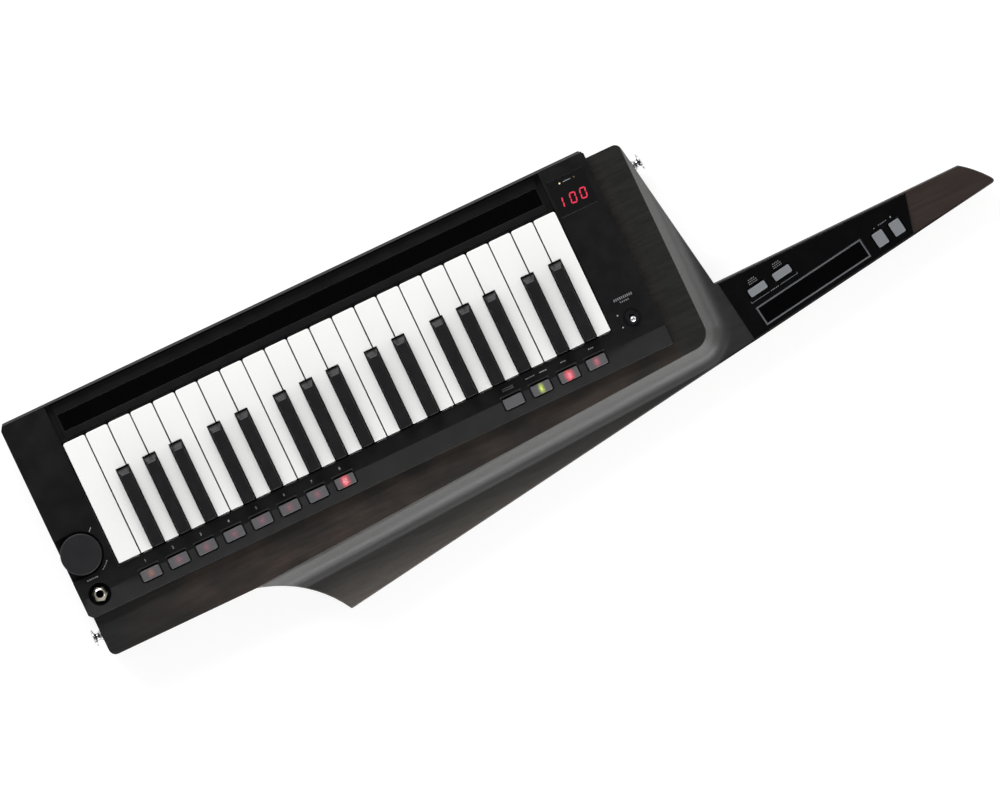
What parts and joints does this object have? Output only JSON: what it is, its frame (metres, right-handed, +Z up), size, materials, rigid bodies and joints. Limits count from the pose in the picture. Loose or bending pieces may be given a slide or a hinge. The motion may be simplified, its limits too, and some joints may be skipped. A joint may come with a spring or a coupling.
{
  "type": "keytar",
  "caption": "Shoulder-worn electronic keyboard: slim piano keys in a black case on a stained wooden body, with ribbon controllers, a short neck, buttons, dial, toggle and strap pins.",
  "frame": {"origin": "middle of the overall outline, on the plane that the back rests on", "axes": "+X along the keys from the tail to the tip of the neck, +Y from the key pivots to the key fronts, +Z up out of the key tops"},
  "size_m": [0.8334, 0.2606, 0.075],
  "materials": {
    "stained_wood": "black-stained hardwood with dark reddish-brown grain, satin lacquer",
    "case_plastic": "satin black moulded plastic",
    "neck_plastic": "gloss black plastic plate",
    "cover_plastic": "fine-textured black plastic",
    "chassis_plastic": "dark grey moulded plastic",
    "circuit_board": "green circuit board with black and metal components",
    "ribbon_film": "gloss black touch film on a dark grey carrier",
    "ivory_plastic": "polished warm white plastic",
    "black_key_plastic": "satin black plastic",
    "dial_plastic": "satin black plastic",
    "translucent_silicone": "translucent grey silicone",
    "light_grey_plastic": "satin light grey plastic",
    "chrome": "polished chrome plate"
  },
  "bodies": {
    "instrument": {"wood_body": "stained_wood", "keyboard_panel": "case_plastic", "neck_panel": "neck_plastic", "back_cover": "cover_plastic", "battery_door": "cover_plastic", "key_bed": "chassis_plastic", "main_board": "circuit_board", "long_ribbon": "ribbon_film", "short_ribbon": "ribbon_film", "microphone_jack": "chrome", "strap_pin_tail": "chrome", "strap_pin_shoulder": "chrome"},
    "volume_dial": {"volume_dial": "dial_plastic"},
    "toggle_lever": {"toggle_lever": "chrome"},
    "program_buttons": {"program_buttons": "translucent_silicone"},
    "function_button_1": {"function_button_1": "translucent_silicone"},
    "function_button_2": {"function_button_2": "translucent_silicone"},
    "function_button_3": {"function_button_3": "translucent_silicone"},
    "function_button_4": {"function_button_4": "translucent_silicone"},
    "neck_bar_button_1": {"neck_bar_button_1": "light_grey_plastic"},
    "neck_bar_button_2": {"neck_bar_button_2": "light_grey_plastic"},
    "neck_square_button_1": {"neck_square_button_1": "light_grey_plastic"},
    "neck_square_button_2": {"neck_square_button_2": "light_grey_plastic"},
    "white_key_c4": {"white_key_c4": "ivory_plastic"},
    "white_key_b3": {"white_key_b3": "ivory_plastic"},
    "white_key_a3": {"white_key_a3": "ivory_plastic"},
    "white_key_g3": {"white_key_g3": "ivory_plastic"},
    "white_key_f3": {"white_key_f3": "ivory_plastic"},
    "white_key_e3": {"white_key_e3": "ivory_plastic"},
    "white_key_d3": {"white_key_d3": "ivory_plastic"},
    "white_key_c3": {"white_key_c3": "ivory_plastic"},
    "white_key_b2": {"white_key_b2": "ivory_plastic"},
    "white_key_a2": {"white_key_a2": "ivory_plastic"},
    "white_key_g2": {"white_key_g2": "ivory_plastic"},
    "white_key_f2": {"white_key_f2": "ivory_plastic"},
    "white_key_e2": {"white_key_e2": "ivory_plastic"},
    "white_key_d2": {"white_key_d2": "ivory_plastic"},
    "white_key_c2": {"white_key_c2": "ivory_plastic"},
    "white_key_b1": {"white_key_b1": "ivory_plastic"},
    "white_key_a1": {"white_key_a1": "ivory_plastic"},
    "white_key_g1": {"white_key_g1": "ivory_plastic"},
    "white_key_f1": {"white_key_f1": "ivory_plastic"},
    "white_key_e1": {"white_key_e1": "ivory_plastic"},
    "white_key_d1": {"white_key_d1": "ivory_plastic"},
    "white_key_c1": {"white_key_c1": "ivory_plastic"},
    "black_key_a_sharp_3": {"black_key_a_sharp_3": "black_key_plastic"},
    "black_key_g_sharp_3": {"black_key_g_sharp_3": "black_key_plastic"},
    "black_key_f_sharp_3": {"black_key_f_sharp_3": "black_key_plastic"},
    "black_key_d_sharp_3": {"black_key_d_sharp_3": "black_key_plastic"},
    "black_key_c_sharp_3": {"black_key_c_sharp_3": "black_key_plastic"},
    "black_key_a_sharp_2": {"black_key_a_sharp_2": "black_key_plastic"},
    "black_key_g_sharp_2": {"black_key_g_sharp_2": "black_key_plastic"},
    "black_key_f_sharp_2": {"black_key_f_sharp_2": "black_key_plastic"},
    "black_key_d_sharp_2": {"black_key_d_sharp_2": "black_key_plastic"},
    "black_key_c_sharp_2": {"black_key_c_sharp_2": "black_key_plastic"},
    "black_key_a_sharp_1": {"black_key_a_sharp_1": "black_key_plastic"},
    "black_key_g_sharp_1": {"black_key_g_sharp_1": "black_key_plastic"},
    "black_key_f_sharp_1": {"black_key_f_sharp_1": "black_key_plastic"},
    "black_key_d_sharp_1": {"black_key_d_sharp_1": "black_key_plastic"},
    "black_key_c_sharp_1": {"black_key_c_sharp_1": "black_key_plastic"}
  },
  "joints": [
    {"name": "volume_dial_turn", "type": "hinge", "parent": "instrument", "child": "volume_dial", "pos_m": [-0.39504, 0.00541, 0.0556], "axis": [0, 0, 1], "range_deg": [-150, 150]},
    {"name": "toggle_lever_turn", "type": "hinge", "parent": "instrument", "child": "toggle_lever", "pos_m": [0.09856, -0.01249, 0.058], "axis": [1, 0, 0], "range_deg": [-20, 0]},
    {"name": "program_buttons_press", "type": "slide", "parent": "instrument", "child": "program_buttons", "axis": [0, 0.229, -0.9734], "range_m": [0, 0.0012], "stiffness_N_per_m": 500, "springref_m": -0.001},
    {"name": "function_button_1_press", "type": "slide", "parent": "instrument", "child": "function_button_1", "axis": [0, 0.229, -0.9734], "range_m": [0, 0.0012], "stiffness_N_per_m": 500, "springref_m": -0.001},
    {"name": "function_button_2_press", "type": "slide", "parent": "instrument", "child": "function_button_2", "axis": [0, 0.229, -0.9734], "range_m": [0, 0.0012], "stiffness_N_per_m": 500, "springref_m": -0.001},
    {"name": "function_button_3_press", "type": "slide", "parent": "instrument", "child": "function_button_3", "axis": [0, 0.229, -0.9734], "range_m": [0, 0.0012], "stiffness_N_per_m": 500, "springref_m": -0.001},
    {"name": "function_button_4_press", "type": "slide", "parent": "instrument", "child": "function_button_4", "axis": [0, 0.229, -0.9734], "range_m": [0, 0.0012], "stiffness_N_per_m": 500, "springref_m": -0.001},
    {"name": "neck_bar_button_1_press", "type": "slide", "parent": "instrument", "child": "neck_bar_button_1", "axis": [0, 0, -1], "range_m": [0, 0.0012], "stiffness_N_per_m": 500, "springref_m": -0.001},
    {"name": "neck_bar_button_2_press", "type": "slide", "parent": "instrument", "child": "neck_bar_button_2", "axis": [0, 0, -1], "range_m": [0, 0.0012], "stiffness_N_per_m": 500, "springref_m": -0.001},
    {"name": "neck_square_button_1_press", "type": "slide", "parent": "instrument", "child": "neck_square_button_1", "axis": [0, 0, -1], "range_m": [0, 0.0012], "stiffness_N_per_m": 500, "springref_m": -0.001},
    {"name": "neck_square_button_2_press", "type": "slide", "parent": "instrument", "child": "neck_square_button_2", "axis": [0, 0, -1], "range_m": [0, 0.0012], "stiffness_N_per_m": 500, "springref_m": -0.001},
    {"name": "white_key_c4_turn", "type": "hinge", "parent": "instrument", "child": "white_key_c4", "pos_m": [-0.36014, -0.02019, 0.054], "axis": [-1, 0, 0], "range_deg": [0, 3.52], "stiffness_Nm_per_rad": 0.54, "springref_deg": -5.73},
    {"name": "white_key_b3_turn", "type": "hinge", "parent": "instrument", "child": "white_key_b3", "pos_m": [-0.33974, -0.02019, 0.054], "axis": [-1, 0, 0], "range_deg": [0, 3.52], "stiffness_Nm_per_rad": 0.54, "springref_deg": -5.73},
    {"name": "white_key_a3_turn", "type": "hinge", "parent": "instrument", "child": "white_key_a3", "pos_m": [-0.31934, -0.02019, 0.054], "axis": [-1, 0, 0], "range_deg": [0, 3.52], "stiffness_Nm_per_rad": 0.54, "springref_deg": -5.73},
    {"name": "white_key_g3_turn", "type": "hinge", "parent": "instrument", "child": "white_key_g3", "pos_m": [-0.29894, -0.02019, 0.054], "axis": [-1, 0, 0], "range_deg": [0, 3.52], "stiffness_Nm_per_rad": 0.54, "springref_deg": -5.73},
    {"name": "white_key_f3_turn", "type": "hinge", "parent": "instrument", "child": "white_key_f3", "pos_m": [-0.27854, -0.02019, 0.054], "axis": [-1, 0, 0], "range_deg": [0, 3.52], "stiffness_Nm_per_rad": 0.54, "springref_deg": -5.73},
    {"name": "white_key_e3_turn", "type": "hinge", "parent": "instrument", "child": "white_key_e3", "pos_m": [-0.25814, -0.02019, 0.054], "axis": [-1, 0, 0], "range_deg": [0, 3.52], "stiffness_Nm_per_rad": 0.54, "springref_deg": -5.73},
    {"name": "white_key_d3_turn", "type": "hinge", "parent": "instrument", "child": "white_key_d3", "pos_m": [-0.23774, -0.02019, 0.054], "axis": [-1, 0, 0], "range_deg": [0, 3.52], "stiffness_Nm_per_rad": 0.54, "springref_deg": -5.73},
    {"name": "white_key_c3_turn", "type": "hinge", "parent": "instrument", "child": "white_key_c3", "pos_m": [-0.21734, -0.02019, 0.054], "axis": [-1, 0, 0], "range_deg": [0, 3.52], "stiffness_Nm_per_rad": 0.54, "springref_deg": -5.73},
    {"name": "white_key_b2_turn", "type": "hinge", "parent": "instrument", "child": "white_key_b2", "pos_m": [-0.19694, -0.02019, 0.054], "axis": [-1, 0, 0], "range_deg": [0, 3.52], "stiffness_Nm_per_rad": 0.54, "springref_deg": -5.73},
    {"name": "white_key_a2_turn", "type": "hinge", "parent": "instrument", "child": "white_key_a2", "pos_m": [-0.17654, -0.02019, 0.054], "axis": [-1, 0, 0], "range_deg": [0, 3.52], "stiffness_Nm_per_rad": 0.54, "springref_deg": -5.73},
    {"name": "white_key_g2_turn", "type": "hinge", "parent": "instrument", "child": "white_key_g2", "pos_m": [-0.15614, -0.02019, 0.054], "axis": [-1, 0, 0], "range_deg": [0, 3.52], "stiffness_Nm_per_rad": 0.54, "springref_deg": -5.73},
    {"name": "white_key_f2_turn", "type": "hinge", "parent": "instrument", "child": "white_key_f2", "pos_m": [-0.13574, -0.02019, 0.054], "axis": [-1, 0, 0], "range_deg": [0, 3.52], "stiffness_Nm_per_rad": 0.54, "springref_deg": -5.73},
    {"name": "white_key_e2_turn", "type": "hinge", "parent": "instrument", "child": "white_key_e2", "pos_m": [-0.11534, -0.02019, 0.054], "axis": [-1, 0, 0], "range_deg": [0, 3.52], "stiffness_Nm_per_rad": 0.54, "springref_deg": -5.73},
    {"name": "white_key_d2_turn", "type": "hinge", "parent": "instrument", "child": "white_key_d2", "pos_m": [-0.09494, -0.02019, 0.054], "axis": [-1, 0, 0], "range_deg": [0, 3.52], "stiffness_Nm_per_rad": 0.54, "springref_deg": -5.73},
    {"name": "white_key_c2_turn", "type": "hinge", "parent": "instrument", "child": "white_key_c2", "pos_m": [-0.07454, -0.02019, 0.054], "axis": [-1, 0, 0], "range_deg": [0, 3.52], "stiffness_Nm_per_rad": 0.54, "springref_deg": -5.73},
    {"name": "white_key_b1_turn", "type": "hinge", "parent": "instrument", "child": "white_key_b1", "pos_m": [-0.05414, -0.02019, 0.054], "axis": [-1, 0, 0], "range_deg": [0, 3.52], "stiffness_Nm_per_rad": 0.54, "springref_deg": -5.73},
    {"name": "white_key_a1_turn", "type": "hinge", "parent": "instrument", "child": "white_key_a1", "pos_m": [-0.03374, -0.02019, 0.054], "axis": [-1, 0, 0], "range_deg": [0, 3.52], "stiffness_Nm_per_rad": 0.54, "springref_deg": -5.73},
    {"name": "white_key_g1_turn", "type": "hinge", "parent": "instrument", "child": "white_key_g1", "pos_m": [-0.01334, -0.02019, 0.054], "axis": [-1, 0, 0], "range_deg": [0, 3.52], "stiffness_Nm_per_rad": 0.54, "springref_deg": -5.73},
    {"name": "white_key_f1_turn", "type": "hinge", "parent": "instrument", "child": "white_key_f1", "pos_m": [0.00706, -0.02019, 0.054], "axis": [-1, 0, 0], "range_deg": [0, 3.52], "stiffness_Nm_per_rad": 0.54, "springref_deg": -5.73},
    {"name": "white_key_e1_turn", "type": "hinge", "parent": "instrument", "child": "white_key_e1", "pos_m": [0.02746, -0.02019, 0.054], "axis": [-1, 0, 0], "range_deg": [0, 3.52], "stiffness_Nm_per_rad": 0.54, "springref_deg": -5.73},
    {"name": "white_key_d1_turn", "type": "hinge", "parent": "instrument", "child": "white_key_d1", "pos_m": [0.04786, -0.02019, 0.054], "axis": [-1, 0, 0], "range_deg": [0, 3.52], "stiffness_Nm_per_rad": 0.54, "springref_deg": -5.73},
    {"name": "white_key_c1_turn", "type": "hinge", "parent": "instrument", "child": "white_key_c1", "pos_m": [0.06826, -0.02019, 0.054], "axis": [-1, 0, 0], "range_deg": [0, 3.52], "stiffness_Nm_per_rad": 0.54, "springref_deg": -5.73},
    {"name": "black_key_a_sharp_3_turn", "type": "hinge", "parent": "instrument", "child": "black_key_a_sharp_3", "pos_m": [-0.33362, -0.02019, 0.054], "axis": [-1, 0, 0], "range_deg": [0, 3.52], "stiffness_Nm_per_rad": 0.54, "springref_deg": -5.73},
    {"name": "black_key_g_sharp_3_turn", "type": "hinge", "parent": "instrument", "child": "black_key_g_sharp_3", "pos_m": [-0.30955, -0.02019, 0.054], "axis": [-1, 0, 0], "range_deg": [0, 3.52], "stiffness_Nm_per_rad": 0.54, "springref_deg": -5.73},
    {"name": "black_key_f_sharp_3_turn", "type": "hinge", "parent": "instrument", "child": "black_key_f_sharp_3", "pos_m": [-0.28547, -0.02019, 0.054], "axis": [-1, 0, 0], "range_deg": [0, 3.52], "stiffness_Nm_per_rad": 0.54, "springref_deg": -5.73},
    {"name": "black_key_d_sharp_3_turn", "type": "hinge", "parent": "instrument", "child": "black_key_d_sharp_3", "pos_m": [-0.25059, -0.02019, 0.054], "axis": [-1, 0, 0], "range_deg": [0, 3.52], "stiffness_Nm_per_rad": 0.54, "springref_deg": -5.73},
    {"name": "black_key_c_sharp_3_turn", "type": "hinge", "parent": "instrument", "child": "black_key_c_sharp_3", "pos_m": [-0.22564, -0.02019, 0.054], "axis": [-1, 0, 0], "range_deg": [0, 3.52], "stiffness_Nm_per_rad": 0.54, "springref_deg": -5.73},
    {"name": "black_key_a_sharp_2_turn", "type": "hinge", "parent": "instrument", "child": "black_key_a_sharp_2", "pos_m": [-0.19082, -0.02019, 0.054], "axis": [-1, 0, 0], "range_deg": [0, 3.52], "stiffness_Nm_per_rad": 0.54, "springref_deg": -5.73},
    {"name": "black_key_g_sharp_2_turn", "type": "hinge", "parent": "instrument", "child": "black_key_g_sharp_2", "pos_m": [-0.16675, -0.02019, 0.054], "axis": [-1, 0, 0], "range_deg": [0, 3.52], "stiffness_Nm_per_rad": 0.54, "springref_deg": -5.73},
    {"name": "black_key_f_sharp_2_turn", "type": "hinge", "parent": "instrument", "child": "black_key_f_sharp_2", "pos_m": [-0.14267, -0.02019, 0.054], "axis": [-1, 0, 0], "range_deg": [0, 3.52], "stiffness_Nm_per_rad": 0.54, "springref_deg": -5.73},
    {"name": "black_key_d_sharp_2_turn", "type": "hinge", "parent": "instrument", "child": "black_key_d_sharp_2", "pos_m": [-0.10779, -0.02019, 0.054], "axis": [-1, 0, 0], "range_deg": [0, 3.52], "stiffness_Nm_per_rad": 0.54, "springref_deg": -5.73},
    {"name": "black_key_c_sharp_2_turn", "type": "hinge", "parent": "instrument", "child": "black_key_c_sharp_2", "pos_m": [-0.08284, -0.02019, 0.054], "axis": [-1, 0, 0], "range_deg": [0, 3.52], "stiffness_Nm_per_rad": 0.54, "springref_deg": -5.73},
    {"name": "black_key_a_sharp_1_turn", "type": "hinge", "parent": "instrument", "child": "black_key_a_sharp_1", "pos_m": [-0.04802, -0.02019, 0.054], "axis": [-1, 0, 0], "range_deg": [0, 3.52], "stiffness_Nm_per_rad": 0.54, "springref_deg": -5.73},
    {"name": "black_key_g_sharp_1_turn", "type": "hinge", "parent": "instrument", "child": "black_key_g_sharp_1", "pos_m": [-0.02395, -0.02019, 0.054], "axis": [-1, 0, 0], "range_deg": [0, 3.52], "stiffness_Nm_per_rad": 0.54, "springref_deg": -5.73},
    {"name": "black_key_f_sharp_1_turn", "type": "hinge", "parent": "instrument", "child": "black_key_f_sharp_1", "pos_m": [0.00013, -0.02019, 0.054], "axis": [-1, 0, 0], "range_deg": [0, 3.52], "stiffness_Nm_per_rad": 0.54, "springref_deg": -5.73},
    {"name": "black_key_d_sharp_1_turn", "type": "hinge", "parent": "instrument", "child": "black_key_d_sharp_1", "pos_m": [0.03501, -0.02019, 0.054], "axis": [-1, 0, 0], "range_deg": [0, 3.52], "stiffness_Nm_per_rad": 0.54, "springref_deg": -5.73},
    {"name": "black_key_c_sharp_1_turn", "type": "hinge", "parent": "instrument", "child": "black_key_c_sharp_1", "pos_m": [0.05996, -0.02019, 0.054], "axis": [-1, 0, 0], "range_deg": [0, 3.52], "stiffness_Nm_per_rad": 0.54, "springref_deg": -5.73}
  ]
}
